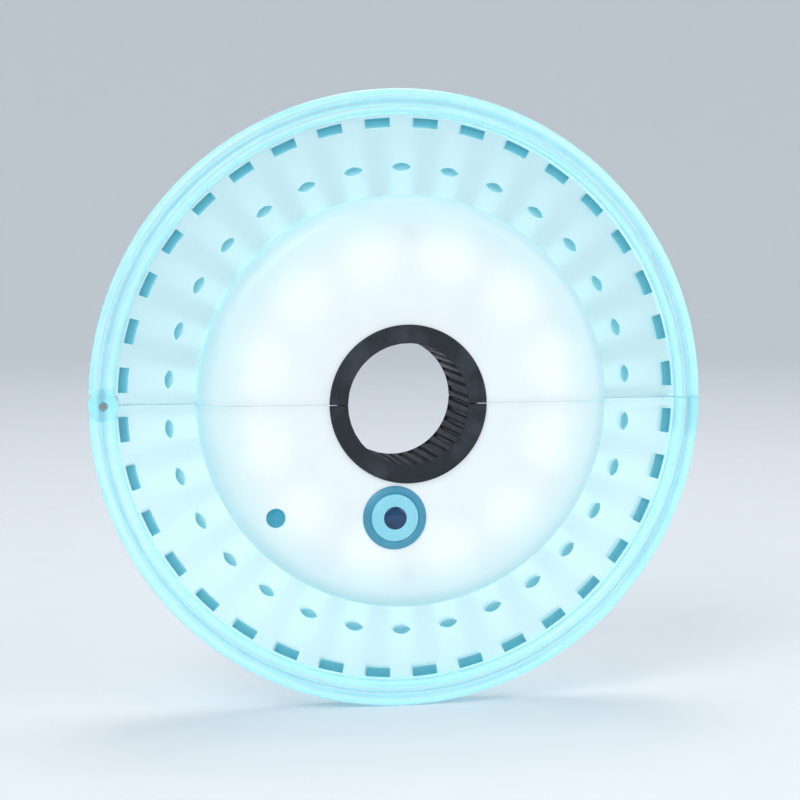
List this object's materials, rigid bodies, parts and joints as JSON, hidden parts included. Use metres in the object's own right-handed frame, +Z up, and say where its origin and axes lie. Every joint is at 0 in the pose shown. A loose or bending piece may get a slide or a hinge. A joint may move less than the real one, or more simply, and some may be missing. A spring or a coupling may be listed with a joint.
{
  "type": "spoke wheel light",
  "caption": "Round clip-on light for a spoked wheel's hub: glowing frosted core and clear rim in two hinged halves, with a push button and a covered charging port.",
  "frame": {"origin": "centre of the hub clamp, in the middle plane of the disc", "axes": "+Y along the hub axis from the front face to the rear face, +Z up across the split, +X to the right seen from the front"},
  "size_m": [0.145, 0.0246, 0.145],
  "materials": {
    "clear_polycarbonate": "clear moulded",
    "frosted_polycarbonate": "frosted moulded",
    "dark_silicone": "matte",
    "circuit_board": "white solder mask",
    "lamp_packages": "gloss",
    "steel": "satin",
    "black_plastic": "matte",
    "smoked_polycarbonate": "gloss",
    "teal_plastic": "gloss",
    "white_plastic": "matte",
    "brass": "polished",
    "cell_foil": "satin foil",
    "white_foam": "matte"
  },
  "bodies": {
    "lower_half": {"lower_light_guide": "clear_polycarbonate", "lower_front_cover": "frosted_polycarbonate", "lower_rear_cover": "frosted_polycarbonate", "lower_front_seal": "dark_silicone", "lower_rear_seal": "dark_silicone", "lower_hub_grip": "dark_silicone", "lower_board": "circuit_board", "lower_edge_leds": "lamp_packages", "lower_face_leds": "lamp_packages", "lower_screws": "steel", "control_chip": "black_plastic", "charge_chip": "black_plastic", "motion_sensor": "steel", "light_sensor": "black_plastic", "sensor_window": "smoked_polycarbonate", "switch_base": "black_plastic", "button_bezel": "teal_plastic", "usb_socket": "steel", "usb_tongue": "black_plastic", "contact_studs": "brass", "hinge_pin": "steel"},
    "upper_half": {"upper_light_guide": "clear_polycarbonate", "upper_front_cover": "frosted_polycarbonate", "upper_rear_cover": "frosted_polycarbonate", "upper_front_seal": "dark_silicone", "upper_rear_seal": "dark_silicone", "upper_hub_grip": "dark_silicone", "upper_board": "circuit_board", "upper_edge_leds": "lamp_packages", "upper_face_leds": "lamp_packages", "upper_screws": "steel", "left_cell": "cell_foil", "right_cell": "cell_foil", "cell_pads": "white_foam", "cell_tabs": "steel", "contact_pads": "brass"},
    "button": {"power_button": "frosted_polycarbonate", "button_inlay": "smoked_polycarbonate", "switch_plunger": "white_plastic"},
    "port_cover": {"port_door": "frosted_polycarbonate", "port_plug": "dark_silicone"}
  },
  "joints": [
    {"name": "half_swing", "type": "hinge", "parent": "lower_half", "child": "upper_half", "pos_m": [-0.0691, 0, 0], "axis": [0, -1, 0], "range_deg": [0, 70]},
    {"name": "button_press", "type": "slide", "parent": "lower_half", "child": "button", "axis": [0, 1, 0], "range_m": [0, 0.0006], "stiffness_N_per_m": 2500},
    {"name": "port_swing", "type": "hinge", "parent": "lower_half", "child": "port_cover", "pos_m": [0, 0.01, -0.02455], "axis": [1, 0, 0], "range_deg": [0, 90]}
  ]
}
